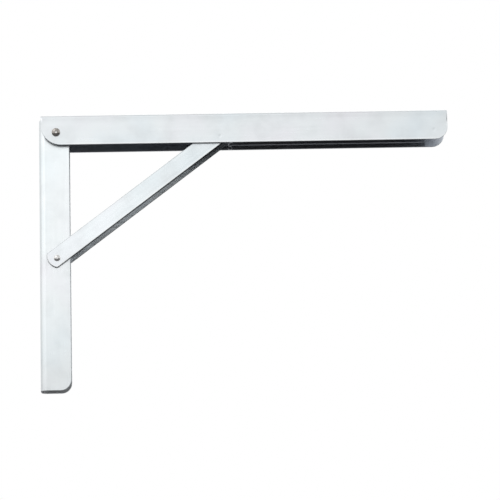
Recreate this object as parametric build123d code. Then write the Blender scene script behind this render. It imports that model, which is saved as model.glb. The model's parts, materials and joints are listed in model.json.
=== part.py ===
from build123d import *
from math import acos, asin, atan, ceil, cos, degrees, pi, radians, sin, sqrt
import os

# Folding shelf bracket. X runs out from the wall along the open arm, Y runs across and Z is up.
# The origin is on the wall face, in the middle plane, at the centre of the wall screw holes.
# It is drawn open: the arm is level, and the brace's pin sits in the lock notch of the guides.

# Folded sheet steel
sheet = 1.5
arm_length = 400.0
arm_width = 34.0
arm_height = 29.5
arm_bend = 2.8
arm_heel_radius = 20.0
arm_toe_radius = 12.5
wall_channel_length = 268.0
wall_channel_depth = 29.5
wall_channel_bend = 6.0
wall_channel_corner = 10.0

# Pivots
pivot_from_wall = 17.0
arm_pivot_below_top = 17.0
arm_wall_gap = 2.0
pivot_below_channel_end = 14.0
pivot_spacing = 125.0
lock_height = 5.0

# Brace
bar_width = 17.0
bar_thickness = 1.5
bar_tip = 8.7
bar_tip_radius = 12.5
bar_corner = 3.0
brace_reach = 215.0
brace_pivot_offset = 1.0

# Guide strips inside the arm
guide_thickness = 1.5
guide_width = 20.0
guide_lip = 4.5
guide_corner = 2.0
guide_heel = 8.0
guide_toe = 26.0

# Rivets, pin, rings and sleeves
arm_rivet_radius = 3.0
arm_head_radius = 4.1
arm_head_height = 1.8
brace_rivet_radius = 2.2
brace_head_radius = 3.1
brace_head_height = 1.1
head_rim = 0.35
dimple_radius = 1.2
dimple_depth = 0.3
pin_radius = 3.0
ring_wall = 1.5
washer_wall = 2.2
sleeve_wall = 1.0

# Lock spring
wire_radius = 0.6
spring_turns = 3
spring_leg_spread = 7.0
hook_gap = 0.3
hook_loop_radius = 1.8
hook_loop_angle = 300.0
wire_bend = 1.2

# Clearances
running_gap = 0.1
pivot_clearance = 0.05
slot_clearance = 0.2
guide_gap = 0.2
coil_clearance = 0.25
hook_wall_gap = 0.2
bar_to_wall = 0.8

# Screw holes
screw_hole_radius = 2.75
wall_hole_from_top = 44.0
wall_hole_from_bottom = 19.0
wall_hole_step = 57.5
arm_hole_from_end = 40.0
arm_hole_step = 100.0

# Places that follow from the sizes
wall_hole_spacing = wall_channel_length - wall_hole_from_top - wall_hole_from_bottom
wall_top = wall_hole_spacing / 2 + wall_hole_from_top
wall_bottom = wall_top - wall_channel_length
arm_pivot_z = wall_top - pivot_below_channel_end
brace_pivot_z = arm_pivot_z - pivot_spacing
arm_start = arm_wall_gap
arm_end = arm_start + arm_length
arm_top = arm_pivot_z + arm_pivot_below_top
arm_bottom = arm_top - arm_height
arm_inside = arm_width / 2 - sheet

guide_face = arm_inside - guide_thickness
bar_outside = guide_face - guide_gap
bar_inside = bar_outside - bar_thickness
wall_outside = bar_inside - bar_to_wall
wall_inside = wall_outside - sheet
wall_channel_width = 2 * wall_outside

pin_distance = sqrt(brace_reach**2 + brace_pivot_offset**2)
pin_angle = degrees(asin((pivot_spacing + lock_height) / pin_distance))
brace_angle = pin_angle - degrees(atan(brace_pivot_offset / brace_reach))
pin_x = pivot_from_wall + pin_distance * cos(radians(pin_angle))
pin_z = arm_pivot_z + lock_height
folded_x = pivot_from_wall + pivot_spacing + brace_reach
run_z = arm_pivot_z + brace_pivot_offset

sleeve_radius = pin_radius + pivot_clearance + sleeve_wall
coil_radius = sleeve_radius + coil_clearance + wire_radius
hook_reach = arm_inside - hook_wall_gap - wire_radius

brace_frame = Plane(
    origin=(pivot_from_wall, 0, brace_pivot_z),
    x_dir=(cos(radians(brace_angle)), 0, sin(radians(brace_angle))),
    z_dir=(0, -1, 0),
)


def channel_section(width, depth, bend):
    # A U lying open towards -Y of its own plane, with the web's outer face on the X axis
    outside = Pos(0, -depth / 2) * Rectangle(width, depth)
    outside = fillet(outside.vertices().group_by(Axis.Y)[-1], bend)
    inner_depth = depth - sheet
    inside = Pos(0, -sheet - inner_depth / 2) * Rectangle(width - 2 * sheet, inner_depth)
    inside = fillet(inside.vertices().group_by(Axis.Y)[-1], bend - sheet)
    return outside - inside


def side_outline(x0, x1, z0, z1, rounds):
    # The channel's outline from the side; rounds gives (x, z, radius) of each corner to round
    face = Pos((x0 + x1) / 2, (z0 + z1) / 2) * Rectangle(x1 - x0, z1 - z0)
    for x, z, radius in rounds:
        corner = face.vertices().sort_by_distance((x, z, 0))[0]
        face = fillet(corner, radius)
    return face


def across(face, plane, width):
    # A side face as a plate of the given width, centred on the middle plane
    return extrude(plane * face, width / 2, both=True)


def cross_hole(x, z, radius, width):
    # A round hole through everything across Y
    return Pos(x, 0, z) * Rot(90, 0, 0) * Cylinder(radius, width)


def ring(x, z, outer, inner, y0, y1):
    # A ring or sleeve about a cross axis, from y0 to y1
    body = Cylinder(outer, y1 - y0) - Cylinder(inner, y1 - y0)
    return Pos(x, (y0 + y1) / 2, z) * Rot(90, 0, 0) * body


def rivet(x, z, shank, head, height, grip):
    # A cross rivet with a low dimpled dome at each end; grip is the distance between the heads
    rise = height - head_rim
    dome_radius = (head**2 + rise**2) / (2 * rise)
    top = grip / 2 + height
    cap = Pos(0, 0, top - height / 2) * Cylinder(head, height)
    cap &= Pos(0, 0, top - dome_radius) * Sphere(dome_radius)
    cap -= Pos(0, 0, top + dimple_radius - dimple_depth) * Sphere(dimple_radius)
    body = Cylinder(shank, grip) + cap + mirror(cap, Plane.XY)
    return Pos(x, 0, z) * Rot(90, 0, 0) * body


def wall_channel():
    plane = Plane(origin=(0, 0, wall_bottom), x_dir=(0, 1, 0), z_dir=(0, 0, 1))
    section = channel_section(wall_channel_width, wall_channel_depth, wall_channel_bend)
    body = extrude(plane * section, wall_channel_length)
    rounds = [(wall_channel_depth, z, wall_channel_corner) for z in (wall_bottom, wall_top)]
    outline = side_outline(0, wall_channel_depth, wall_bottom, wall_top, rounds)
    body = body & across(outline, Plane.XZ, wall_channel_width)
    for z, shank in ((arm_pivot_z, arm_rivet_radius), (brace_pivot_z, brace_rivet_radius)):
        body -= cross_hole(pivot_from_wall, z, shank + pivot_clearance, wall_channel_width)
    for z in hole_row(-wall_hole_spacing / 2, wall_hole_spacing / 2, wall_hole_step):
        body -= Pos(sheet / 2, 0, z) * Rot(0, 90, 0) * Cylinder(screw_hole_radius, 2 * sheet)
    return body


def arm_channel():
    section = Plane(origin=(arm_start, 0, arm_top), x_dir=(0, 1, 0), z_dir=(1, 0, 0))
    body = extrude(section * channel_section(arm_width, arm_height, arm_bend), arm_length)
    rounds = [(arm_start, arm_bottom, arm_heel_radius), (arm_end, arm_bottom, arm_toe_radius)]
    outline = side_outline(arm_start, arm_end, arm_bottom, arm_top, rounds)
    body = body & across(outline, Plane.XZ, arm_width)
    body -= cross_hole(pivot_from_wall, arm_pivot_z, arm_rivet_radius + pivot_clearance, arm_width)
    for x in hole_row(arm_start + arm_hole_from_end, arm_end - arm_hole_from_end, arm_hole_step):
        body -= Pos(x, 0, arm_top - sheet / 2) * Cylinder(screw_hole_radius, 2 * sheet)
    return body


def hole_row(first, last, step):
    # Four holes in a row: one near each end, and one a step inwards of each
    return [first, first + step, last - step, last]


def guide_strip(side):
    # A strip welded inside one wall of the arm, with the pin's run and the lock notch above its wall end
    x0 = pin_x - guide_heel
    x1 = folded_x + guide_toe
    z0 = arm_bottom + guide_lip
    face = side_outline(x0, x1, z0, z0 + guide_width, [])
    face = fillet(face.vertices(), guide_corner)
    slot = 2 * (pin_radius + slot_clearance)
    face -= Pos((pin_x + folded_x) / 2, run_z) * SlotCenterToCenter(folded_x - pin_x, slot)
    face -= Pos(pin_x, (run_z + pin_z) / 2) * Rot(0, 0, 90) * SlotCenterToCenter(pin_z - run_z, slot)
    plane = Plane.XZ.offset(-side * (guide_face + guide_thickness / 2))
    return across(face, plane, guide_thickness)


def brace_bar(side):
    # A flat bar with a shallow round lower tip and a full round upper end about the pin
    low = brace_pivot_offset - bar_width / 2
    high = brace_pivot_offset + bar_width / 2
    shoulder = bar_tip_radius - bar_tip - sqrt(bar_tip_radius**2 - (bar_width / 2) ** 2)
    with BuildLine() as line:
        ThreePointArc((shoulder, high), (-bar_tip, brace_pivot_offset), (shoulder, low))
        Line((shoulder, low), (brace_reach, low))
        end = (brace_reach + bar_width / 2, brace_pivot_offset)
        ThreePointArc((brace_reach, low), end, (brace_reach, high))
        Line((brace_reach, high), (shoulder, high))
    face = make_face(line.line)
    face = fillet(face.vertices().group_by(Axis.X)[0], bar_corner)
    face -= Circle(brace_rivet_radius + pivot_clearance)
    face -= Pos(brace_reach, brace_pivot_offset) * Circle(pin_radius + pivot_clearance)
    plane = brace_frame.offset(-side * (bar_inside + bar_thickness / 2))
    return across(face, plane, bar_thickness)


def slide_pin():
    # Its ends stop just short of the guide strips
    half = bar_outside + guide_gap / 2
    return cross_hole(pin_x, pin_z, pin_radius, 2 * half)


def lock_spring():
    # One wire: two close coils on the pin's sleeve, joined by a bridge. A leg runs down from each
    # to a loop that hooks under the guide strip. It is drawn about the pin's axis, with +Y down.
    pitch = 2 * wire_radius + coil_clearance
    hook_depth = pin_z - (arm_bottom + guide_lip) + hook_gap + wire_radius
    hook_side = 1.5 * wire_bend
    hook_distance = sqrt(hook_depth**2 + hook_side**2)
    hook_angle = 90 + degrees(atan(hook_side / hook_depth))
    leave_angle = hook_angle - degrees(acos(coil_radius / hook_distance))
    coil_length = (spring_turns + leave_angle / 360) * pitch
    coil_start = spring_leg_spread - coil_length
    coil = coil_arcs(pitch, coil_start, coil_length)
    start, end = coil[0] @ 0, coil[-1] @ 1
    away, leave = coil[0] % 0, coil[-1] % 1
    corner = end + leave * ((hook_depth - end.Y) / leave.Y)
    turn_out = Vector(corner.X, corner.Y, hook_reach)
    leg = FilletPolyline(end, corner, turn_out, turn_out + Vector(hook_side, 0, 0), radius=wire_bend)
    loop_centre = leg @ 1 + Vector(0, hook_loop_radius, 0)
    loop = Pos(*loop_centre) * CenterArc((0, 0), hook_loop_radius, -90, hook_loop_angle)
    turn_in = start - away * (2 * wire_bend)
    bridge = FilletPolyline(start, turn_in, flipped(turn_in), flipped(start), radius=wire_bend)
    half = ShapeList(coil) + leg.edges() + loop.edges()
    path = Wire(half + mirror(Curve(half), Plane.XY).edges() + bridge.edges())
    spring = sweep(Plane(origin=path @ 0, z_dir=path % 0) * Circle(wire_radius), path)
    return Pos(pin_x, 0, pin_z) * Rot(-90, 0, 0) * spring


def coil_arcs(pitch, start, length):
    # The coil as quarter turns, each a round arc that goes on from the one before
    count = ceil(4 * length / pitch)
    turns = [2 * pi * length / pitch * k / count for k in range(count + 1)]
    points = [
        Vector(coil_radius * cos(t), coil_radius * sin(t), start + pitch * t / (2 * pi)) for t in turns
    ]
    along = Vector(0, coil_radius, pitch / (2 * pi)).normalized()
    arcs = []
    for near, far in zip(points, points[1:]):
        arc = TangentArc(near, far, tangent=along)
        along = arc % 1
        arcs += arc.edges()
    return arcs


def flipped(point):
    # The same point on the other side of the middle plane
    return Vector(point.X, point.Y, -point.Z)


def make_nodes():
    nodes = {
        "wall_channel": wall_channel(),
        "arm_channel": arm_channel(),
        "arm_pivot_rivet": rivet(
            pivot_from_wall, arm_pivot_z, arm_rivet_radius, arm_head_radius, arm_head_height,
            arm_width + 2 * running_gap,
        ),
        "arm_pivot_sleeve": ring(
            pivot_from_wall, arm_pivot_z, arm_rivet_radius + pivot_clearance + sleeve_wall,
            arm_rivet_radius + pivot_clearance, -wall_inside, wall_inside,
        ),
        "brace_pivot_rivet": rivet(
            pivot_from_wall, brace_pivot_z, brace_rivet_radius, brace_head_radius, brace_head_height,
            2 * (bar_outside + running_gap),
        ),
        "brace_pivot_sleeve": ring(
            pivot_from_wall, brace_pivot_z, brace_rivet_radius + pivot_clearance + sleeve_wall,
            brace_rivet_radius + pivot_clearance, -wall_inside, wall_inside,
        ),
        "slide_pin": slide_pin(),
        "slide_pin_sleeve": ring(
            pin_x, pin_z, sleeve_radius, pin_radius + pivot_clearance, -bar_inside, bar_inside
        ),
        "lock_spring": lock_spring(),
    }
    for name, side in (("near", -1), ("far", 1)):
        spacer_ends = sorted((side * wall_outside, side * (arm_inside - running_gap)))
        nodes["arm_spacer_" + name] = ring(
            pivot_from_wall, arm_pivot_z, arm_rivet_radius + pivot_clearance + ring_wall,
            arm_rivet_radius + pivot_clearance, *spacer_ends,
        )
        washer_ends = sorted((side * wall_outside, side * (bar_inside - running_gap)))
        nodes["brace_washer_" + name] = ring(
            pivot_from_wall, brace_pivot_z, brace_rivet_radius + pivot_clearance + washer_wall,
            brace_rivet_radius + pivot_clearance, *washer_ends,
        )
        nodes["guide_strip_" + name] = guide_strip(side)
        nodes["brace_bar_" + name] = brace_bar(side)
    return nodes


os.makedirs("parts", exist_ok=True)
for node_name, shape in make_nodes().items():
    export_step(shape, f"parts/{node_name}.step")
print(f"brace angle {brace_angle:.2f}, pin at x {pin_x:.2f} z {pin_z:.2f}, arm top {arm_top:.2f}")
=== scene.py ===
import json
import math

import bmesh
import bpy
from mathutils import Matrix, Vector
from mathutils.geometry import delaunay_2d_cdt


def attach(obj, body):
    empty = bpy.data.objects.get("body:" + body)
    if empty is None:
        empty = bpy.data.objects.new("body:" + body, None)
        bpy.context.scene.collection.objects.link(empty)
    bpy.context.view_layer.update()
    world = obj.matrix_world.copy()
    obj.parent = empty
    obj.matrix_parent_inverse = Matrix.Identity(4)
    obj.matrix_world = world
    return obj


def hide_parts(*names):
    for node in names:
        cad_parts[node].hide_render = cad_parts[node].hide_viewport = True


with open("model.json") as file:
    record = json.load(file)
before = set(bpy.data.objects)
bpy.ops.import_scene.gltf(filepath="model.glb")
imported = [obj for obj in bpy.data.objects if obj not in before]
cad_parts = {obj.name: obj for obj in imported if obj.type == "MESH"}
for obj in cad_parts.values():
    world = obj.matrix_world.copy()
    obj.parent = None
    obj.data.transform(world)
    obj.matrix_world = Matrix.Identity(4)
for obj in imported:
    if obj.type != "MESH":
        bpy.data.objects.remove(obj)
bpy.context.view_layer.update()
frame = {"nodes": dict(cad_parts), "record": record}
nodes = frame["nodes"]
scene = bpy.context.scene
nodeSlots = {part["node"]: part["material_slot"] for part in frame["record"]["subparts"]}
mm = 0.001
print("frame loaded:", len(nodes), "nodes")


# The camera stands where the photograph was taken: low, a little left of centre, looking up
viewFrom = {
    "target": (0.20481, -0.002, 0.01457),
    "distance": 2.29484,
    "yaw": 0.0385,
    "elevation": 0.2019,
    "roll": -0.0252,
    "lens": 168.91,
    "sensor": 36.0,
    "farthest": 50.0,
}


def makeCamera(look):
    yaw, lift = look["yaw"], look["elevation"]
    ahead = Vector((math.sin(yaw) * math.cos(lift), math.cos(yaw) * math.cos(lift), math.sin(lift)))
    level = ahead.cross(Vector((0, 0, 1))).normalized()
    over = level.cross(ahead)
    roll = look["roll"]
    right = math.cos(roll) * level + math.sin(roll) * over
    up = math.cos(roll) * over - math.sin(roll) * level
    data = bpy.data.cameras.new("viewCamera")
    data.lens = look["lens"]
    data.sensor_width = look["sensor"]
    data.clip_end = look["farthest"]
    camera = bpy.data.objects.new("viewCamera", data)
    place = Matrix((right, up, -ahead)).transposed().to_4x4()
    place.translation = Vector(look["target"]) - ahead * look["distance"]
    camera.matrix_world = place
    scene.collection.objects.link(camera)
    scene.camera = camera


makeCamera(viewFrom)
scene.view_settings.view_transform = "Standard"


# Small helpers for shader trees; places are in steps across and up
def addNode(tree, kind, place, **sockets):
    node = tree.nodes.new(kind)
    node.location = (place[0] * 200, place[1] * 160)
    for name, value in sockets.items():
        node.inputs[name.replace("_", " ")].default_value = value
    return node


def join(tree, out, into):
    tree.links.new(out, into)


def feed(tree, socket, value):
    if isinstance(value, (int, float)):
        socket.default_value = value
    elif isinstance(value, tuple):
        socket.default_value = (*value, 1)
    else:
        tree.links.new(value, socket)


def mathNode(tree, what, a, b, place):
    node = addNode(tree, "ShaderNodeMath", place)
    node.operation = what
    feed(tree, node.inputs[0], a)
    feed(tree, node.inputs[1], b)
    return node.outputs[0]


def rampNode(tree, factor, stops, place):
    node = addNode(tree, "ShaderNodeValToRGB", place)
    marks = node.color_ramp.elements
    while len(marks) < len(stops):
        marks.new(0.5)
    for mark, (at, colour) in zip(marks, stops):
        mark.position = at
        mark.color = (*colour, 1)
    feed(tree, node.inputs[0], factor)
    return node.outputs[0]


def rangeNode(tree, value, fromLow, fromHigh, toLow, toHigh, place):
    node = addNode(tree, "ShaderNodeMapRange", place)
    node.interpolation_type = "SMOOTHSTEP"
    for k, v in enumerate((value, fromLow, fromHigh, toLow, toHigh)):
        feed(tree, node.inputs[k], v)
    return node.outputs[0]


def mixColour(tree, factor, a, b, place, how="MIX"):
    node = addNode(tree, "ShaderNodeMix", place)
    node.data_type = "RGBA"
    node.blend_type = how
    for k, v in ((0, factor), (6, a), (7, b)):
        feed(tree, node.inputs[k], v)
    return node.outputs[2]


def mixShader(tree, factor, a, b, place):
    node = addNode(tree, "ShaderNodeMixShader", place)
    for k, out in enumerate((factor, a, b)):
        join(tree, out, node.inputs[k])
    return node.outputs[0]


def fadeNode(tree, place, fade, at):
    # A level that changes along one direction of the piece; the stops are (distance, level)
    axis, stops = fade
    along = addNode(tree, "ShaderNodeVectorMath", (at[0] - 2, at[1]))
    along.operation = "DOT_PRODUCT"
    join(tree, place, along.inputs[0])
    along.inputs[1].default_value = axis
    first, last = stops[0][0], stops[-1][0]
    part = addNode(tree, "ShaderNodeMapRange", (at[0] - 1, at[1]))
    for k, v in enumerate((along.outputs["Value"], first, last, 0.0, 1.0)):
        feed(tree, part.inputs[k], v)
    marks = [((x - first) / (last - first), (v,) * 3) for x, v in stops]
    return rampNode(tree, part.outputs[0], marks, at)


def noise(tree, vector, place, scale, detail=2.0, roughness=0.5):
    node = addNode(tree, "ShaderNodeTexNoise", place, Scale=scale, Detail=detail, Roughness=roughness)
    join(tree, vector, node.inputs["Vector"])
    return node.outputs["Fac"]


def startMetal(name):
    material = bpy.data.materials.new(name)
    material.use_nodes = True
    tree = material.node_tree
    tree.nodes.clear()
    out = addNode(tree, "ShaderNodeOutputMaterial", (9, 0))
    shader = addNode(tree, "ShaderNodeBsdfPrincipled", (7, 0), Metallic=1.0)
    join(tree, shader.outputs[0], out.inputs[0])
    place = addNode(tree, "ShaderNodeTexCoord", (-7, 0)).outputs["Object"]
    return material, tree, shader, place


# Bright zinc plate: clouds of blue and rose in the passivation, rolling lines along the sheet, a fine
# grain, a few dull smudges, the warm marks of welds, and margins with a painted highlight. A look may
# also fade along a direction, mostly as painted shade, and darken by its rim as a painted shadow
def zincMaterial(name, look):
    material, tree, shader, place = startMetal(name)
    turned = addNode(tree, "ShaderNodeMapping", (-6, 1))
    turned.inputs["Rotation"].default_value = (0, look["grainTurn"], 0)
    join(tree, place, turned.inputs[0])
    drawn = addNode(tree, "ShaderNodeVectorMath", (-5, 1))
    drawn.operation = "MULTIPLY"
    join(tree, turned.outputs[0], drawn.inputs[0])
    drawn.inputs[1].default_value = look["grainScale"]
    lines = noise(tree, drawn.outputs[0], (-4, 1), 1.0, *look["lineDetail"])
    clouds = noise(tree, place, (-4, 3), look["cloudScale"], *look["cloudDetail"])
    grain = noise(tree, place, (-4, -1), look["fineScale"])
    smudges = noise(tree, place, (-4, -3), look["smudgeScale"], *look["smudgeDetail"])

    base = rampNode(tree, clouds, look["tints"], (-2, 3))
    dulled = rangeNode(tree, smudges, *look["smudgeSpan"], 1.0, look["dulling"], (-2, -3))
    base = mixColour(tree, 1.0, base, dulled, (0, 2), "MULTIPLY")
    for k, fade in enumerate(look["fades"]):
        level = fadeNode(tree, place, fade, (-2, 7 + k))
        base = mixColour(tree, 1.0, base, level, (1, 3), "MULTIPLY")
    weld = addNode(tree, "ShaderNodeAttribute", (0, 6))
    weld.attribute_name = "heat"
    base = mixColour(tree, weld.outputs["Fac"], base, look["heatColour"], (1, 5))
    # Painted highlight: the margins are brightened towards white
    margin = addNode(tree, "ShaderNodeAttribute", (-2, 5))
    margin.attribute_name = "paintedLightMask"
    shine = mathNode(tree, "MULTIPLY", margin.outputs["Fac"], look["marginShine"], (0, 5))
    for fade in look["shineFades"]:
        shine = mathNode(tree, "MULTIPLY", shine, fadeNode(tree, place, fade, (-2, 9)), (1, 5))
    base = mixColour(tree, shine, base, look["marginColour"], (2, 2))
    # Painted shadow: a fine dark line close to the rim, in looks whose rimShade is below 1
    rim = rangeNode(tree, margin.outputs["Fac"], *look["rimSpan"], 1.0, look["rimShade"], (2, 4))
    base = mixColour(tree, 1.0, base, rim, (3, 2), "MULTIPLY")
    join(tree, base, shader.inputs["Base Color"])

    rough = rangeNode(tree, lines, *look["lineSpan"], *look["roughness"], (0, 0))
    stained = rangeNode(tree, smudges, *look["stainSpan"], 0.0, look["stainRoughness"], (0, -3))
    join(tree, mathNode(tree, "ADD", rough, stained, (2, 0)), shader.inputs["Roughness"])

    fine = mathNode(tree, "MULTIPLY", grain, look["fineHeight"], (0, -1))
    rolled = mathNode(tree, "MULTIPLY", lines, look["lineHeight"], (0, 1))
    bump = addNode(tree, "ShaderNodeBump", (4, -1), Strength=1.0, Distance=mm)
    join(tree, mathNode(tree, "ADD", fine, rolled, (2, -1)), bump.inputs["Height"])
    join(tree, bump.outputs[0], shader.inputs["Normal"])
    return material


# Wire, pins and rivets: steel with stains and a fine drawn surface, and a painted highlight in the
# rivets' dimples
def steelMaterial(name, look):
    material, tree, shader, place = startMetal(name)
    stains = noise(tree, place, (-4, 1), look["stainScale"], *look["stainDetail"])
    fine = noise(tree, place, (-4, -1), look["fineScale"])
    dimpleHighlight = addNode(tree, "ShaderNodeAttribute", (-2, 3))
    dimpleHighlight.attribute_name = "paintedLightMask"
    base = rampNode(tree, stains, look["tints"], (-2, 1))
    # Painted highlight in the rivets' dimples
    base = mixColour(tree, dimpleHighlight.outputs["Fac"], base, look["dimpleHighlightColour"], (0, 2))
    join(tree, base, shader.inputs["Base Color"])
    rough = rangeNode(tree, fine, *look["fineSpan"], *look["roughness"], (-2, 0))
    join(tree, rough, shader.inputs["Roughness"])
    bump = addNode(tree, "ShaderNodeBump", (0, -1), Strength=1.0, Distance=mm)
    join(tree, mathNode(tree, "MULTIPLY", fine, look["fineHeight"], (-2, -1)), bump.inputs["Height"])
    join(tree, bump.outputs[0], shader.inputs["Normal"])
    return material


# Tints are ramp stops over the noise, which seldom leaves the middle third
def tinted(dark, mid, light):
    return ((0.34, dark), (0.5, mid), (0.66, light))


def stainTints(dark, light):
    return ((0.35, dark), (0.65, light))


armLook = {
    "tints": tinted((0.82, 0.865, 0.89), (0.845, 0.865, 0.875), (0.86, 0.85, 0.875)),
    # Painted shade: a faint darker band along the upper bend
    "fades": [((0, 0, 1), ((0.141, 1.0), (0.1465, 0.93), (0.1483, 0.93), (0.149, 1.0)))],
    # The painted highlight of the margins fades out at both ends of the arm
    "shineFades": [
        ((1, 0, 0), ((0.008, 0.0), (0.022, 0.15), (0.034, 1.0), (0.385, 1.0), (0.398, 0.0))),
    ],
    "heatColour": (0.76, 0.71, 0.77),
    "cloudScale": 14.0,
    "cloudDetail": (2.0, 0.5),
    "smudgeScale": 45.0,
    "smudgeDetail": (4.0, 0.65),
    "smudgeSpan": (0.4, 0.75),
    "dulling": 0.975,
    "stainSpan": (0.4, 0.8),
    "stainRoughness": 0.08,
    "grainTurn": 0.0,
    "grainScale": (10.0, 700.0, 700.0),
    "lineDetail": (3.0, 0.6),
    "lineSpan": (0.3, 0.7),
    "fineScale": 1500.0,
    "fineHeight": 0.004,
    "lineHeight": 0.0012,
    "roughness": (0.27, 0.31),
    "marginShine": 0.95,
    "marginColour": (1.0, 1.0, 1.0),
    "rimSpan": (0.68, 0.8),
    "rimShade": 1.0,
}
wallLook = dict(
    armLook,
    tints=tinted((0.925, 0.965, 0.98), (0.945, 0.965, 0.97), (0.96, 0.95, 0.975)),
    # Darker towards the bottom of the upright
    fades=[((0, 0, 1), ((-0.1215, 0.92), (-0.095, 0.93), (-0.05, 0.99), (0.1465, 1.0)))],
    shineFades=[],
    grainScale=(700.0, 700.0, 10.0),
    marginShine=0.1,
)
# Painted shade darkens the inside of the upright towards its foot
footLook = dict(
    wallLook,
    fades=[((0, 0, 1), ((-0.1215, 0.5), (-0.111, 0.5), (-0.1, 1.0), (0.1465, 1.0)))],
    roughness=(0.55, 0.65),
)
# The bars rise at this angle. Their outside gets painted shade towards the arm and a fine painted
# shadow along its edges
barTurn = math.radians(36.94)
acrossBar = (-math.sin(barTurn), 0, math.cos(barTurn))
barLook = dict(
    armLook,
    tints=tinted((0.93, 0.98, 1.0), (0.955, 0.98, 0.995), (0.97, 0.965, 1.0)),
    # Painted shade, darker towards the arm
    fades=[((1, 0, 0), ((0.01, 1.0), (0.06, 1.0), (0.12, 0.92), (0.2, 0.87)))],
    # The painted highlight of the margins stays by the lower edge
    shineFades=[(acrossBar, ((-0.0117, 1.0), (0.002, 1.0), (0.0045, 0.1)))],
    grainTurn=barTurn,
    # Painted shadow in a fine line along the edges
    rimShade=0.6,
)
insideLook = dict(
    armLook,
    tints=tinted((0.62, 0.67, 0.70), (0.66, 0.69, 0.71), (0.69, 0.69, 0.71)),
    fades=[],
    roughness=(0.28, 0.36),
    marginShine=0.0,
)
# Painted shade: the arm's inside is dark, darkest as far as the guide strips reach, and light by the
# open end
armShadeLook = dict(
    insideLook,
    tints=tinted((0.77, 0.82, 0.88), (0.80, 0.83, 0.88), (0.82, 0.82, 0.88)),
    fades=[((1, 0, 0), ((0.0, 0.72), (0.165, 0.70), (0.185, 0.36), (0.3825, 0.36), (0.3835, 0.93)))],
)
# Painted shade: the guide strips, deep inside the arm, are far darker than the zinc outside
guideLook = dict(
    insideLook,
    tints=tinted((0.33, 0.35, 0.38), (0.37, 0.38, 0.40), (0.40, 0.39, 0.41)),
)
# Painted shade: the bars are dark inside but for a light band along the lower edge
barInsideLook = dict(
    insideLook,
    tints=tinted((0.92, 0.97, 1.0), (0.95, 0.98, 1.0), (0.97, 0.97, 1.0)),
    fades=[(acrossBar, ((-0.0117, 1.0), (-0.0081, 1.0), (-0.0075, 0.2), (0.005, 0.3)))],
)
# Painted shade: the downward-facing cut edges of the bars are nearly black
darkEdgeLook = dict(
    insideLook,
    tints=tinted((0.07, 0.08, 0.09), (0.09, 0.10, 0.11), (0.12, 0.12, 0.13)),
)
edgeLook = dict(
    armLook,
    tints=tinted((0.86, 0.89, 0.92), (0.90, 0.92, 0.94), (0.94, 0.94, 0.96)),
    fades=[],
    grainScale=(400.0, 60.0, 400.0),
    roughness=(0.32, 0.46),
    marginShine=0.0,
)
guideEdgeLook = dict(edgeLook, roughness=(0.5, 0.62))
rivetLook = {
    "tints": stainTints((0.30, 0.27, 0.25), (0.44, 0.41, 0.385)),
    "stainScale": 500.0,
    "stainDetail": (3.0, 0.6),
    "fineScale": 2500.0,
    "fineSpan": (0.3, 0.7),
    "fineHeight": 0.008,
    "roughness": (0.12, 0.20),
    "dimpleHighlightColour": (1.0, 0.98, 0.96),
}
braceRivetLook = dict(rivetLook, tints=stainTints((0.66, 0.64, 0.62), (0.78, 0.76, 0.75)))
platedRivetLook = dict(rivetLook, tints=stainTints((0.82, 0.80, 0.78), (0.93, 0.92, 0.91)))
springLook = dict(
    rivetLook,
    tints=stainTints((0.78, 0.79, 0.81), (0.90, 0.91, 0.93)),
    roughness=(0.22, 0.34),
)

armZinc = zincMaterial("armZinc", armLook)
wallZinc = zincMaterial("wallZinc", wallLook)
barZinc = zincMaterial("barZinc", barLook)
barInside = zincMaterial("barInside", barInsideLook)
guideZinc = zincMaterial("guideZinc", guideLook)
greasedZinc = zincMaterial("greasedZinc", armShadeLook)
footZinc = zincMaterial("footZinc", footLook)
edgeZinc = zincMaterial("edgeZinc", edgeLook)
guideEdge = zincMaterial("guideEdge", guideEdgeLook)
darkEdge = zincMaterial("darkEdge", darkEdgeLook)
rivetSteel = steelMaterial("rivetSteel", rivetLook)
platedRivet = steelMaterial("platedRivet", platedRivetLook)
braceRivet = steelMaterial("braceRivet", braceRivetLook)
springSteel = steelMaterial("springSteel", springLook)
slotMaterials = {
    "channel_zinc": armZinc,
    "guide_zinc": guideZinc,
    "bar_zinc": barZinc,
    "rivet_steel": rivetSteel,
    "spring_steel": springSteel,
}
for nodeName, piece in nodes.items():
    piece.data.materials.clear()
    piece.data.materials.append(slotMaterials[nodeSlots[nodeName]])
print("materials made")


# Lengths and turns too small to count
tolerance = 1e-7
straight = 1e-4


# Outlines are lists of corners (x, y, radius) with the metal on their left
def movedIn(corners, by):
    moved = []
    count = len(corners)
    for k in range(count):
        before, here, after = (Vector(corners[(k + d) % count][:2]) for d in (-1, 0, 1))
        inward = (here - before).normalized()
        onward = (after - here).normalized()
        turn = inward.x * onward.y - inward.y * onward.x
        left = Vector((-inward.y, inward.x)) + Vector((-onward.y, onward.x))
        left *= by / (1 + inward.dot(onward))
        radius = corners[k][2]
        if radius > 0:
            radius = max(radius - by if turn > 0 else radius + by, 0.0)
        moved.append((here.x + left.x, here.y + left.y, radius))
    return moved


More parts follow.
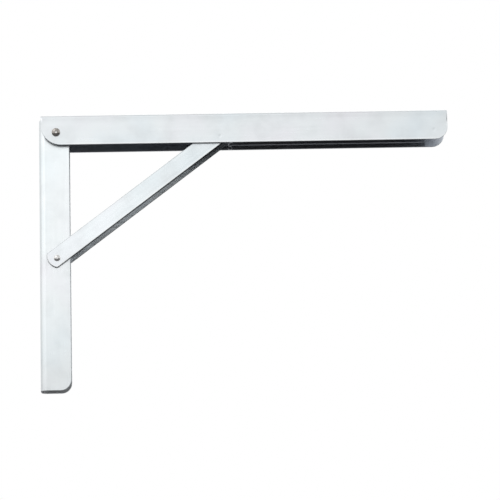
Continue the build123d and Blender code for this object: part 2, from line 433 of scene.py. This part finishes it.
def rounded(corners, step=math.radians(5)):
    points = []
    count = len(corners)
    for k in range(count):
        before, here, after = (Vector(corners[(k + d) % count][:2]) for d in (-1, 0, 1))
        radius = corners[k][2]
        inward = (here - before).normalized()
        onward = (after - here).normalized()
        turn = math.atan2(inward.x * onward.y - inward.y * onward.x, inward.dot(onward))
        if radius <= 0 or abs(turn) < straight:
            points.append(here)
            continue
        reach = radius * math.tan(abs(turn) / 2)
        side = Vector((-inward.y, inward.x)) * (1 if turn > 0 else -1)
        centre = here - inward * reach + side * radius
        stops = max(2, math.ceil(abs(turn) / step))
        for n in range(stops + 1):
            swing = turn * n / stops
            arm = -side * radius
            points.append(centre + Vector((
                arm.x * math.cos(swing) - arm.y * math.sin(swing),
                arm.x * math.sin(swing) + arm.y * math.cos(swing),
            )))
    return points


def circleHole(x, y, radius, count=48):
    turns = [2 * math.pi * k / count for k in range(count)]
    return [(x + radius * math.cos(-t), y + radius * math.sin(-t), 0.0) for t in turns]


def boxOutline(x0, x1, y0, y1, radii):
    places = ((x0, y0), (x1, y0), (x1, y1), (x0, y1))
    return [(x, y, r) for (x, y), r in zip(places, radii)]


def splitAt(points, levels):
    # Adds a point wherever the loop crosses a fold line, so that the bend starts there
    out = []
    for k, here in enumerate(points):
        after = points[(k + 1) % len(points)]
        crossed = [v for v in levels if (here.y - v) * (after.y - v) < -tolerance**2]
        cuts = [(v - here.y) / (after.y - here.y) for v in crossed]
        out += [here] + [here.lerp(after, t) for t in sorted(cuts)]
    return out


def awayFrom(point, loops):
    best = math.inf
    for loop in loops:
        for k, here in enumerate(loop):
            side = loop[k - 1] - here
            t = max(0.0, min(1.0, (point - here).dot(side) / (side.length_squared or 1.0)))
            best = min(best, (point - here - side * t).length)
    return best


def contains(loop, point):
    inside = False
    for k, here in enumerate(loop):
        last = loop[k - 1]
        if (here.y > point.y) != (last.y > point.y):
            if point.x < (last.x - here.x) * (point.y - here.y) / (last.y - here.y) + here.x:
                inside = not inside
    return inside


def blankRims(blank, corner):
    # The loops where the break starts, each with the way out at every point
    rims = []
    for corners in [blank["outline"]] + blank["holes"]:
        loop = splitAt(rounded(movedIn(corners, corner)), blank["folds"])
        outward = []
        for k, here in enumerate(loop):
            after = loop[(k + 1) % len(loop)]
            along = (here - loop[k - 1]).normalized() + (after - here).normalized()
            along.normalize()
            outward.append(Vector((along.y, -along.x)))
        rims.append((loop, outward))
    return rims


def blankFaces(blank, rims, look):
    # The blank in triangles, with lines along its margins, dents and folds. Also gives the point
    # that each rim point became
    flat, links = [], []

    def addLoop(loop):
        start, count = len(flat), len(loop)
        flat.extend(loop)
        links.extend((start + k, start + (k + 1) % count) for k in range(count))

    for loop, _ in rims:
        addLoop(loop)
    rimCount = len(flat)
    for corners in [blank["outline"]] + blank["holes"]:
        addLoop(rounded(movedIn(corners, look["margin"])))
    for dent in blank["dents"]:
        for radius, _ in look["dent"]:
            addLoop([Vector((x, y)) for x, y, _ in circleHole(*dent, radius, look["dentSteps"])])
        flat.append(Vector(dent))
    outer, *holes = [loop for loop, _ in rims]
    xs = [p.x for p in outer]
    for level in blank["folds"]:
        links.append((len(flat), len(flat) + 1))
        flat += [Vector((min(xs), level)), Vector((max(xs), level))]

    points, _, faces, sources, _, _ = delaunay_2d_cdt(flat, links, [], 0, tolerance)
    kept = []
    for face in faces:
        middle = sum((points[k] for k in face), Vector((0, 0))) / len(face)
        if contains(outer, middle) and not any(contains(hole, middle) for hole in holes):
            kept.append(tuple(face))
    rimIndex = {source: k for k, found in enumerate(sources) for source in found if source < rimCount}
    return points, kept, rimIndex


def dentAt(dents, point, look):
    # How deep the sheet is dented at a point, how its normal tilts there, and how warm it was
    dip, tilt, warmth = 0.0, Vector((0, 0)), 0.0
    for dent in dents:
        off = point - Vector(dent)
        warmth = max(warmth, 1.0 - off.length / look["dent"][0][0])
        for n, (radius, deep) in enumerate(look["dent"]):
            if off.length <= radius + tolerance:
                dip = deep
                if n > 0 and off.length > 10 * tolerance:
                    tilt = off.normalized() * -look["dentTilt"]
    return dip, tilt, warmth


# A blank is cut with its holes, given a small break all round its edges, marked with the dents
# of its welds, and folded. The fold turns a place on the blank into a place, the way out of the
# sheet there, and a function that turns a direction on the blank into one in space. The slots are
# outside, inside, cut edges, and the downward-facing cut edges that get painted shade
def sheetMesh(name, blank, fold, look):
    thick, corner = look["thickness"], look["break"]
    blank = {"dents": [], "folds": [], "oiled": False, **blank}
    rims = blankRims(blank, corner)
    cuts = [[p + n * corner for p, n in zip(loop, outward)] for loop, outward in rims]
    points, kept, rimIndex = blankFaces(blank, rims, look)
    verts, normals, paintedLightMask, heat = [], [], [], []

    def put(place, depth, tilt, facing, shine, warmth=0.0):
        at, out, across = fold(place, depth)
        verts.append(at)
        normals.append((out * facing + across(tilt)).normalized())
        paintedLightMask.append(shine)
        heat.append(warmth)
        return len(verts) - 1

    layers = []
    for depth, facing in ((0.0, 1.0), (thick, -1.0)):
        layer = []
        for p in points:
            dip, tilt, warmth = dentAt(blank["dents"], p, look)
            # Painted highlight mask: full at the cut edges, gone a margin in
            shine = max(0.0, 1.0 - awayFrom(p, cuts) / look["margin"])
            layer.append(put(p, depth + dip, tilt * facing, facing, shine, warmth))
        layers.append(layer)
    allFaces, slots = [], []
    for face in kept:
        a, b, c = (Vector(verts[layers[0][k]]) for k in face[:3])
        turned = (b - a).cross(c - a).dot(normals[layers[0][face[0]]]) < 0
        top = face[::-1] if turned else face
        allFaces.append([layers[0][k] for k in top])
        slots.append(0)
        allFaces.append([layers[1][k] for k in top[::-1]])
        slots.append(1)

    slope = math.sqrt(0.5)
    offset = 0
    for loop, outward in rims:
        count = len(loop)
        rows = [[layers[0][rimIndex[offset + k]] for k in range(count)]]
        stages = (
            (1 - slope, 1 - slope, slope),
            (0.0, 1.0, 0.0),
            (0.0, -1.0, 0.0),
            (1 - slope, slope - 1, -slope),
        )
        for inset, down, lean in stages:
            depth = corner * down if down > 0 else thick + corner * down
            tilt = 1.0 if lean == 0 else slope
            rows.append([
                put(p + n * corner * (1 - inset), depth, n * tilt, lean, 1.0)
                for p, n in zip(loop, outward)
            ])
        rows.append([layers[1][rimIndex[offset + k]] for k in range(count)])
        for upper, lower in zip(rows, rows[1:]):
            for k in range(count):
                quad = [upper[k - 1], upper[k], lower[k], lower[k - 1]]
                a, b, c = (Vector(verts[i]) for i in quad[:3])
                facing = sum((normals[i] for i in quad), Vector((0, 0, 0)))
                if (b - a).cross(c - a).dot(facing) < 0:
                    quad.reverse()
                allFaces.append(quad)
                # Downward-facing cut edges of the bars get painted shade
                oiled = blank["oiled"] and facing.z < look["shadedBelow"]
                slots.append(3 if oiled else 2)
        offset += count

    mesh = bpy.data.meshes.new(name)
    mesh.from_pydata(verts, [], allFaces)
    mesh.polygons.foreach_set("material_index", slots)
    mesh.polygons.foreach_set("use_smooth", [True] * len(allFaces))
    for layerName, values in (("paintedLightMask", paintedLightMask), ("heat", heat)):
        mesh.attributes.new(layerName, "FLOAT", "POINT").data.foreach_set("value", values)
    mesh.normals_split_custom_set_from_vertices(normals)
    mesh.validate()
    return mesh


def foldedChannel(look):
    # Web across the middle, a bend each side, then the two flanges; place.y runs across the blank
    half, bend = look["width"] / 2, look["bend"]
    flatHalf = half - bend
    origin, along, down = (Vector(look[k]) for k in ("origin", "along", "down"))
    across = Vector((0, 1, 0))

    def fold(place, depth):
        side = 1 if place.y >= 0 else -1
        past = abs(place.y) - flatHalf
        if past <= 0:
            angle, at = 0.0, (place.y, depth)
        elif past < bend * math.pi / 2:
            angle = past / bend
            rest = bend - depth
            at = (side * (flatHalf + rest * math.sin(angle)), bend - rest * math.cos(angle))
        else:
            angle = math.pi / 2
            at = (side * (half - depth), bend + past - bend * math.pi / 2)
        out = across * (side * math.sin(angle)) - down * math.cos(angle)
        onward = across * math.cos(angle) + down * (side * math.sin(angle))
        spot = origin + along * place.x + across * at[0] + down * at[1]
        return spot, out, lambda v: along * v.x + onward * v.y

    return fold


def flangeAt(look, depth):
    # How far across the blank a place on the flange lies, from its depth below the web
    half, bend = look["width"] / 2, look["bend"]
    return half - bend + bend * math.pi / 2 + depth - bend


def foldLines(look, count=8):
    half, bend = look["width"] / 2, look["bend"]
    stops = [half - bend + bend * math.pi / 2 * k / count for k in range(count + 1)]
    return [side * s for s in stops for side in (-1, 1)]


def flatPlate(look):
    origin, along, up = (Vector(look[k]) for k in ("origin", "along", "up"))
    out = along.cross(up).normalized() * look["facing"]

    def fold(place, depth):
        spot = origin + along * place.x + up * place.y - out * depth
        return spot, out, lambda v: along * v.x + up * v.y

    return fold


def placePiece(name, mesh, body, source, materials):
    for material in materials:
        mesh.materials.append(material)
    piece = bpy.data.objects.new(name, mesh)
    scene.collection.objects.link(piece)
    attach(piece, body)
    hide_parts(source)
    print(name, len(mesh.polygons), "faces")


# The dent's rings are (radius, depth); the last entry is how far down an edge's summed normals must
# point for the edge to get painted shade
sheetLook = {
    "thickness": 1.5 * mm,
    "break": 0.2 * mm,
    "margin": 2.0 * mm,
    "dent": ((2.4 * mm, 0.0), (1.8 * mm, 0.03 * mm), (1.1 * mm, 0.07 * mm)),
    "dentTilt": 0.06,
    "dentSteps": 24,
    "shadedBelow": -1.0,
}

# Where the two rivets and the slide pin cross the bracket, as (x, z)
armPivot = (17 * mm, 132.5 * mm)
bracePivot = (17 * mm, 7.5 * mm)
slidePivot = (188.2517 * mm, 137.5 * mm)

armShape = {
    "origin": (2 * mm, 0, 149.5 * mm),
    "along": (1, 0, 0),
    "down": (0, 0, -1),
    "width": 34 * mm,
    "bend": 2.8 * mm,
    "depth": 29.5 * mm,
    "length": 400 * mm,
    "corners": (20 * mm, 12.5 * mm, 12.5 * mm, 20 * mm),
    "pivots": ((15 * mm, 17 * mm, 3.05 * mm),),
    "screws": (40 * mm, 140 * mm, 260 * mm, 360 * mm),
    "screwRadius": 2.75 * mm,
    "dents": ((175.6 * mm, 23.3 * mm), (386.5 * mm, 20.1 * mm)),
}


# A channel's holes and dents are (along it, below the web), and come on both flanges
def makeChannel(name, body, source, look, materials):
    edge = flangeAt(look, look["depth"])
    outline = boxOutline(0, look["length"], -edge, edge, look["corners"])
    holes = [
        circleHole(x, side * flangeAt(look, depth), radius)
        for x, depth, radius in look["pivots"] for side in (-1, 1)
    ]
    holes += [circleHole(x, 0, look["screwRadius"]) for x in look["screws"]]
    dents = [(x, side * flangeAt(look, depth)) for x, depth in look["dents"] for side in (-1, 1)]
    blank = {"outline": outline, "holes": holes, "dents": dents, "folds": foldLines(look)}
    mesh = sheetMesh(name, blank, foldedChannel(look), sheetLook)
    placePiece(name, mesh, body, source, materials)


makeChannel("armChannel", "arm", "arm_channel", armShape, (armZinc, greasedZinc, edgeZinc))

wallShape = {
    "origin": (0, 0, -121.5 * mm),
    "along": (0, 0, 1),
    "down": (1, 0, 0),
    "width": 23 * mm,
    "bend": 6 * mm,
    "depth": 29.5 * mm,
    "length": 268 * mm,
    "corners": (10 * mm,) * 4,
    "pivots": ((254 * mm, 17 * mm, 3.05 * mm), (129 * mm, 17 * mm, 2.25 * mm)),
    "screws": (19 * mm, 76.5 * mm, 166.5 * mm, 224 * mm),
    "screwRadius": 2.75 * mm,
    "dents": (),
}
makeChannel("wallChannel", "wall", "wall_channel", wallShape, (wallZinc, footZinc, edgeZinc))

barShape = {
    "width": 17 * mm,
    "offset": 1.0 * mm,
    "reach": 215 * mm,
    "tip": 8.7 * mm,
    "tipRadius": 12.5 * mm,
    "corner": 3.0 * mm,
    "tipSteps": 12,
    "endSteps": 36,
    "rivetHole": 2.25 * mm,
    "pinHole": 3.05 * mm,
    "outside": 13.8 * mm,
}


def makeBar(side, name, look):
    half, middle = look["width"] / 2, look["offset"]
    spread = math.asin(half / look["tipRadius"])
    centre = look["tipRadius"] - look["tip"]
    outline = []
    bow = look["tipRadius"]
    for k in range(look["tipSteps"] + 1):
        angle = math.pi - spread + 2 * spread * k / look["tipSteps"]
        rounding = look["corner"] if k in (0, look["tipSteps"]) else 0.0
        outline.append((centre + bow * math.cos(angle), middle + bow * math.sin(angle), rounding))
    for k in range(look["endSteps"] + 1):
        angle = -math.pi / 2 + math.pi * k / look["endSteps"]
        outline.append((look["reach"] + half * math.cos(angle), middle + half * math.sin(angle), 0.0))
    holes = [circleHole(0, 0, look["rivetHole"]), circleHole(look["reach"], middle, look["pinHole"])]
    plate = {
        "origin": (bracePivot[0], side * look["outside"], bracePivot[1]),
        "along": (math.cos(barTurn), 0, math.sin(barTurn)),
        "up": acrossBar,
        "facing": -side,
    }
    # The downward-facing cut edges get painted shade
    blank = {"outline": outline, "holes": holes, "oiled": True}
    mesh = sheetMesh(name, blank, flatPlate(plate), sheetLook)
    source = "brace_bar_far" if side > 0 else "brace_bar_near"
    placePiece(name, mesh, "brace", source, (barZinc, barInside, edgeZinc, darkEdge))


for side, name in ((-1, "braceBarNear"), (1, "braceBarFar")):
    makeBar(side, name, barShape)

guideShape = {
    "x": (180.2517 * mm, 383.0 * mm),
    "z": (124.5 * mm, 144.5 * mm),
    "corner": 2 * mm,
    "run": (slidePivot[0], 357.0 * mm, 133.5 * mm),
    "notch": slidePivot[1],
    "step": 0.3 * mm,
    "slotHalf": 3.2 * mm,
    "roundness": 0.98,
    "face": 14.0 * mm,
}


def makeGuide(side, name, look):
    (x0, x1), (z0, z1) = look["x"], look["z"]
    outline = boxOutline(x0, x1, z0, z1, (look["corner"],) * 4)
    start, end, level = look["run"]
    half, top = look["slotHalf"], look["notch"]
    full = half * look["roundness"]
    slot = [
        (start - half, level - half, full),
        (start - half, top + half, full),
        (start + half, top + half, full),
        (start + half, level + half, look["step"]),
        (end + half, level + half, full),
        (end + half, level - half, full),
    ]
    plate = {
        "origin": (0, side * look["face"], 0),
        "along": (1, 0, 0),
        "up": (0, 0, 1),
        "facing": side,
    }
    mesh = sheetMesh(name, {"outline": outline, "holes": [slot]}, flatPlate(plate), sheetLook)
    source = "guide_strip_far" if side > 0 else "guide_strip_near"
    placePiece(name, mesh, "arm", source, (guideZinc, guideZinc, guideEdge))


for side, name in ((-1, "guideStripNear"), (1, "guideStripFar")):
    makeGuide(side, name, guideShape)


# Geometry Nodes: one tree sweeps a profile round a cross axis, the other a round wire along a route
def makeTree(name, sizes):
    tree = bpy.data.node_groups.new(name, "GeometryNodeTree")
    tree.interface.new_socket("Line", in_out="INPUT", socket_type="NodeSocketGeometry")
    for label, kind, value in sizes:
        socket = tree.interface.new_socket(label, in_out="INPUT", socket_type="NodeSocket" + kind)
        if value is not None:
            socket.default_value = value
    tree.interface.new_socket("Piece", in_out="OUTPUT", socket_type="NodeSocketGeometry")
    given = addNode(tree, "NodeGroupInput", (0, 0))
    line = addNode(tree, "GeometryNodeMeshToCurve", (1, 1))
    join(tree, given.outputs["Line"], line.inputs["Mesh"])
    circle = addNode(tree, "GeometryNodeCurvePrimitiveCircle", (1, -1))
    join(tree, given.outputs["Steps"], circle.inputs["Resolution"])
    join(tree, given.outputs["Radius"], circle.inputs["Radius"])
    return tree, given, line.outputs["Curve"], circle.outputs["Curve"]


def endTree(tree, given, shape):
    smooth = addNode(tree, "GeometryNodeSetShadeSmooth", (5, 0))
    whole = addNode(tree, "GeometryNodeRealizeInstances", (6, 0))
    finish = addNode(tree, "GeometryNodeSetMaterial", (7, 0))
    join(tree, shape, smooth.inputs["Geometry"])
    join(tree, smooth.outputs[0], whole.inputs["Geometry"])
    join(tree, whole.outputs[0], finish.inputs["Geometry"])
    join(tree, given.outputs["Finish"], finish.inputs["Material"])
    join(tree, finish.outputs[0], addNode(tree, "NodeGroupOutput", (8, 0)).inputs["Piece"])


def makeTurnedTree():
    sizes = [
        ("Steps", "Int", 48),
        ("Radius", "Float", mm),
        ("Centre", "Vector", None),
        ("Finish", "Material", None),
    ]
    tree, given, profile, circle = makeTree("turnedPiece", sizes)
    swept = addNode(tree, "GeometryNodeCurveToMesh", (2, 0))
    join(tree, circle, swept.inputs["Curve"])
    join(tree, profile, swept.inputs["Profile Curve"])
    weld = addNode(tree, "GeometryNodeMergeByDistance", (3, 0), Distance=tolerance)
    join(tree, swept.outputs["Mesh"], weld.inputs["Geometry"])
    turn = addNode(tree, "GeometryNodeTransform", (4, 0), Rotation=(math.pi / 2, 0, 0))
    join(tree, weld.outputs["Geometry"], turn.inputs["Geometry"])
    join(tree, given.outputs["Centre"], turn.inputs["Translation"])
    endTree(tree, given, turn.outputs["Geometry"])
    return tree


def makeWireTree():
    sizes = [("Steps", "Int", 12), ("Radius", "Float", mm), ("Finish", "Material", None)]
    tree, given, route, circle = makeTree("roundWire", sizes)
    swept = addNode(tree, "GeometryNodeCurveToMesh", (2, 0), Fill_Caps=True)
    join(tree, route, swept.inputs["Curve"])
    join(tree, circle, swept.inputs["Profile Curve"])
    endTree(tree, given, swept.outputs["Mesh"])
    return tree


turnedTree = makeTurnedTree()
wireTree = makeWireTree()
sharpAngle = math.radians(40)


def runTree(name, tree, points, closed, values, paintedLightMask=None):
    count = len(points)
    line = bpy.data.meshes.new(name + "Line")
    line.from_pydata(points, [(k, (k + 1) % count) for k in range(count if closed else count - 1)], [])
    shine = line.attributes.new("paintedLightMask", "FLOAT", "POINT")
    shine.data.foreach_set("value", paintedLightMask or [0.0] * count)
    carrier = bpy.data.objects.new(name + "Line", line)
    scene.collection.objects.link(carrier)
    modifier = carrier.modifiers.new(name, "NODES")
    modifier.node_group = tree
    for item in tree.interface.items_tree:
        if item.in_out == "INPUT" and item.name in values:
            modifier[item.identifier] = values[item.name]
    evaluated = carrier.evaluated_get(bpy.context.evaluated_depsgraph_get())
    mesh = bpy.data.meshes.new_from_object(evaluated)
    bpy.data.objects.remove(carrier)
    shell = bmesh.new()
    shell.from_mesh(mesh)
    bmesh.ops.recalc_face_normals(shell, faces=shell.faces)
    shell.to_mesh(mesh)
    shell.free()
    mesh.set_sharp_from_angle(angle=sharpAngle)
    mesh.name = name
    return mesh


# The circle that a profile is swept round; the profile is drawn from it
coreRadius = 1 * mm


def turnedMesh(name, profile, closed, centre, finish, paintedLightMask=None):
    points = [(radius - coreRadius, along, 0) for radius, along in profile]
    values = {"Radius": coreRadius, "Centre": (centre[0], 0, centre[1]), "Finish": finish}
    return runTree(name, turnedTree, points, closed, values, paintedLightMask)


# Spacers, washers and sleeves, each a ring with its corners broken: pivot, body, inner and outer
# radius, and the two ends, in mm
ringTable = {
    "arm_pivot_sleeve": (armPivot, "wall", 3.05, 4.05, -10.0, 10.0),
    "arm_spacer_near": (armPivot, "wall", 3.05, 4.55, -15.4, -11.5),
    "arm_spacer_far": (armPivot, "wall", 3.05, 4.55, 11.5, 15.4),
    "brace_pivot_sleeve": (bracePivot, "wall", 2.25, 3.25, -10.0, 10.0),
    "brace_washer_near": (bracePivot, "wall", 2.25, 4.45, -12.2, -11.5),
    "brace_washer_far": (bracePivot, "wall", 2.25, 4.45, 11.5, 12.2),
    "slide_pin_sleeve": (slidePivot, "brace", 3.05, 4.05, -12.3, 12.3),
}
ringCorner = 0.15 * mm
ringStep = math.radians(25)


def makeRing(source, centre, body, inner, outer, start, end):
    corners = boxOutline(inner * mm, outer * mm, start * mm, end * mm, (ringCorner,) * 4)
    profile = [tuple(p) for p in rounded(corners, ringStep)]
    words = source.split("_")
    name = words[0] + "".join(word.capitalize() for word in words[1:])
    mesh = turnedMesh(name, profile, True, centre, platedRivet)
    placePiece(name, mesh, body, source, ())


for source, values in ringTable.items():
    makeRing(source, *values)

# The pivots, in mm: a shank with a domed head at each end, and a dimple left by the riveting punch
rivetTable = {
    "arm_pivot_rivet": {
        "centre": armPivot, "shank": 3.0, "grip": 17.1, "head": 4.1, "height": 1.8,
        "rim": 0.75, "dimple": 1.1, "deep": 0.2, "finish": rivetSteel,
    },
    "brace_pivot_rivet": {
        "centre": bracePivot, "shank": 2.2, "grip": 13.9, "head": 3.1, "height": 1.1,
        "rim": 0.2, "dimple": 0.6, "deep": 0.06, "finish": braceRivet,
    },
}
headLook = {"lip": 0.25, "domeSteps": 10, "dimpleSteps": 5, "undercut": 0.1}


def makeRivet(source, look):
    rise = look["height"] - look["rim"]
    dome = (look["head"] ** 2 + rise**2) / (2 * rise)
    crown = look["grip"] + look["height"]
    lip = look["dimple"] + headLook["lip"]

    def domeAt(radius):
        return crown - dome + math.sqrt(dome**2 - radius**2)

    half, shine = [], []
    for k in range(headLook["dimpleSteps"] + 1):
        t = k / headLook["dimpleSteps"]
        half.append((look["dimple"] * t, domeAt(lip) - look["deep"] * math.cos(t * math.pi / 2)))
        # The dimple gets a painted highlight, strongest at its middle
        shine.append(max(0.0, 1.0 - t**2))
    for k in range(headLook["domeSteps"] + 1):
        radius = lip + (look["head"] - lip) * math.sin(k / headLook["domeSteps"] * math.pi / 2)
        half.append((radius, domeAt(radius)))
        shine.append(0.0)
    under = headLook["undercut"]
    half += [(look["head"], look["grip"] + under), (look["head"] - under, look["grip"])]
    half.append((look["shank"], look["grip"]))
    shine += [0.0] * 3
    profile = half + [(radius, -along) for radius, along in reversed(half)]
    profile = [(radius * mm, along * mm) for radius, along in profile]
    name = "armRivet" if source.startswith("arm") else "braceRivet"
    mesh = turnedMesh(name, profile, False, look["centre"], look["finish"], shine + shine[::-1])
    placePiece(name, mesh, "wall", source, ())


for source, look in rivetTable.items():
    makeRivet(source, look)

# The slide pin, with its ends broken
pinShape = {"radius": 3.0 * mm, "half": 13.9 * mm, "corner": 0.4 * mm}


def makePin(look):
    edge = look["radius"] - look["corner"]
    half = [(0.0, look["half"]), (edge, look["half"]), (look["radius"], look["half"] - look["corner"])]
    profile = half + [(radius, -along) for radius, along in reversed(half)]
    mesh = turnedMesh("slidePin", profile, False, slidePivot, rivetSteel)
    placePiece("slidePin", mesh, "brace", "slide_pin", ())


makePin(pinShape)

# The lock spring: one wire, in two coils on the pin's sleeve joined by a bridge, with a leg down
# each side to an open loop that hooks under the guide strip. Its route is drawn about the pin,
# with y downwards
springShape = {
    "wire": 0.6 * mm,
    "coil": 4.9 * mm,
    "pitch": 1.45 * mm,
    "turns": 3,
    "legAt": 7.0 * mm,
    "depth": 13.9 * mm,
    "hookSide": 1.8 * mm,
    "hookReach": 14.7 * mm,
    "loop": 1.8 * mm,
    "loopTurn": math.radians(300),
    "loopSteps": 20,
    "bend": 1.2 * mm,
}


def roundedRoute(corners, radius, steps=6):
    route = [corners[0]]
    for before, here, after in zip(corners, corners[1:], corners[2:]):
        back, onward = (before - here).normalized(), (after - here).normalized()
        half = back.angle(onward) / 2
        centre = here + (back + onward).normalized() * (radius / math.sin(half))
        start = (here + back * (radius / math.tan(half)) - centre).normalized()
        stop = (here + onward * (radius / math.tan(half)) - centre).normalized()
        route += [centre + start.slerp(stop, k / steps) * radius for k in range(steps + 1)]
    return route + [corners[-1]]


def makeSpring(look, perTurn=24):
    coil, pitch, bend = look["coil"], look["pitch"], look["bend"]
    distance = math.hypot(look["depth"], look["hookSide"])
    leaveAngle = math.pi / 2 + math.atan(look["hookSide"] / look["depth"]) - math.acos(coil / distance)
    swing = 2 * math.pi * look["turns"] + leaveAngle
    rise = pitch / (2 * math.pi)
    startAt = look["legAt"] - swing * rise
    count = math.ceil(swing / (2 * math.pi) * perTurn)
    angles = [swing * k / count for k in range(count + 1)]
    turns = [Vector((coil * math.cos(t), coil * math.sin(t), startAt + rise * t)) for t in angles]
    leave = Vector((-coil * math.sin(swing), coil * math.cos(swing), rise)).normalized()
    corner = turns[-1] + leave * ((look["depth"] - turns[-1].y) / leave.y)
    turnOut = Vector((corner.x, corner.y, look["hookReach"]))
    hook = turnOut + Vector((look["hookSide"], 0, 0))
    leg = roundedRoute([turns[-1], corner, turnOut, hook], bend)
    centre = hook + Vector((0, look["loop"], 0))
    loop = []
    for k in range(1, look["loopSteps"] + 1):
        t = look["loopTurn"] * k / look["loopSteps"]
        loop.append(centre + Vector((math.sin(t), -math.cos(t), 0)) * look["loop"])
    away = Vector((0, coil, rise)).normalized()
    turnIn = turns[0] - away * (2 * bend)

    def flipped(points):
        return [Vector((p.x, p.y, -p.z)) for p in reversed(points)]

    bridge = roundedRoute([turns[0], turnIn] + flipped([turns[0], turnIn]), bend)
    half = turns + leg[1:] + loop
    route = flipped(half) + bridge[::-1][1:-1] + half
    x, z = slidePivot
    points = [(x + p.x, p.z, z - p.y) for p in route]
    values = {"Radius": look["wire"], "Finish": springSteel}
    mesh = runTree("lockSpring", wireTree, points, False, values)
    placePiece("lockSpring", mesh, "brace", "lock_spring", ())


makeSpring(springShape)


# A pale floor well under the bracket, shown nearly white to the camera and not at all from below
floorLook = {
    "middle": 0.2,
    "height": -1.1,
    "half": 4.0,
    "colour": (0.30, 0.30, 0.31),
    "shownWhite": 0.85,
}


def makeFloor(look):
    half, low, middle = look["half"], look["height"], look["middle"]
    mesh = bpy.data.meshes.new("paleFloor")
    spots = [(middle + half * x, half * y, low) for x, y in ((-1, -1), (1, -1), (1, 1), (-1, 1))]
    mesh.from_pydata(spots, [], [(0, 1, 2, 3)])
    material = bpy.data.materials.new("paleFloor")
    material.use_nodes = True
    tree = material.node_tree
    tree.nodes.clear()
    out = addNode(tree, "ShaderNodeOutputMaterial", (6, 0))
    matt = addNode(tree, "ShaderNodeBsdfDiffuse", (0, 1))
    feed(tree, matt.inputs["Color"], look["colour"])
    white = addNode(tree, "ShaderNodeEmission", (0, -1), Strength=1.0)
    toCamera = addNode(tree, "ShaderNodeLightPath", (0, 3)).outputs["Is Camera Ray"]
    shown = mathNode(tree, "MULTIPLY", toCamera, look["shownWhite"], (1, 2))
    blend = mixShader(tree, shown, matt.outputs[0], white.outputs[0], (2, 0))
    below = addNode(tree, "ShaderNodeNewGeometry", (2, 3)).outputs["Backfacing"]
    clear = addNode(tree, "ShaderNodeBsdfTransparent", (2, -2))
    join(tree, mixShader(tree, below, blend, clear.outputs[0], (4, 0)), out.inputs[0])
    mesh.materials.append(material)
    floor = bpy.data.objects.new("paleFloor", mesh)
    scene.collection.objects.link(floor)


# A soft studio sky, white to the camera. The metal sees a broad light in front that fades
# downwards and to the right, a softer one behind and overhead, and a dark ground
skyLook = {
    "colour": (0.965, 0.99, 1.0),
    "strength": 1.29,
    "front": (
        (-0.5, 0.03), (-0.2, 0.08), (-0.06, 0.26), (0.06, 0.62),
        (0.14, 0.90), (0.18, 1.0), (0.3, 0.97),
    ),
    "back": ((-0.03, 0.02), (0.06, 0.62)),
    "turn": (-0.35, 0.15),
    "sideways": (
        (-1.0, 0.92), (-0.6, 0.92), (-0.35, 1.0), (-0.15, 0.98),
        (-0.05, 0.93), (0.05, 0.86), (0.25, 0.68), (0.45, 0.59),
    ),
    "overhead": (0.35, 0.9, 1.0, 0.88),
}


def makeSky(look):
    world = bpy.data.worlds.new("studioSky")
    scene.world = world
    world.use_nodes = True
    tree = world.node_tree
    tree.nodes.clear()
    out = addNode(tree, "ShaderNodeOutputWorld", (8, 0))
    place = addNode(tree, "ShaderNodeTexCoord", (-5, 0)).outputs["Generated"]
    axes = addNode(tree, "ShaderNodeSeparateXYZ", (-4, 0))
    join(tree, place, axes.inputs[0])
    front = fadeNode(tree, place, ((0, 0, 1), look["front"]), (-2, 3))
    sideways = fadeNode(tree, place, ((1, 0, 0), look["sideways"]), (-2, 2))
    front = mathNode(tree, "MULTIPLY", front, sideways, (0, 3))
    back = fadeNode(tree, place, ((0, 0, 1), look["back"]), (-2, 1))
    behind = rangeNode(tree, axes.outputs["Y"], *look["turn"], 0.0, 1.0, (-2, 0))
    level = mixColour(tree, behind, front, back, (1, 2))
    overhead = rangeNode(tree, axes.outputs["Z"], *look["overhead"], (-2, -1))
    level = mixColour(tree, 1.0, level, overhead, (2, 1), "MULTIPLY")
    light = addNode(tree, "ShaderNodeBackground", (5, 1), Strength=look["strength"])
    join(tree, mixColour(tree, 1.0, level, look["colour"], (3, 0), "MULTIPLY"), light.inputs["Color"])
    white = addNode(tree, "ShaderNodeBackground", (5, -1), Strength=1.0)
    feed(tree, white.inputs["Color"], (1, 1, 1))
    toCamera = addNode(tree, "ShaderNodeLightPath", (5, 3)).outputs["Is Camera Ray"]
    join(tree, mixShader(tree, toCamera, light.outputs[0], white.outputs[0], (7, 0)), out.inputs[0])


lampAim = (0.2, 0, 0.05)
lampTable = {
    "keyPanel": {"place": (-0.9, -1.5, 1.5), "size": 1.0, "power": 2.0},
    "fillPanel": {"place": (1.6, -1.4, 1.1), "size": 1.2, "power": 1.5},
    "backPanel": {"place": (0.2, 1.8, 1.3), "size": 1.4, "power": 5.0},
}


def makeLamps(table):
    aim = Vector(lampAim)
    for name, look in table.items():
        data = bpy.data.lights.new(name, "AREA")
        data.shape = "SQUARE"
        data.size = look["size"]
        data.energy = look["power"]
        lamp = bpy.data.objects.new(name, data)
        lamp.location = look["place"]
        lamp.rotation_euler = (aim - lamp.location).to_track_quat("-Z", "Y").to_euler()
        scene.collection.objects.link(lamp)


makeFloor(floorLook)
makeSky(skyLook)
makeLamps(lampTable)
print("floor, sky and lamps made")
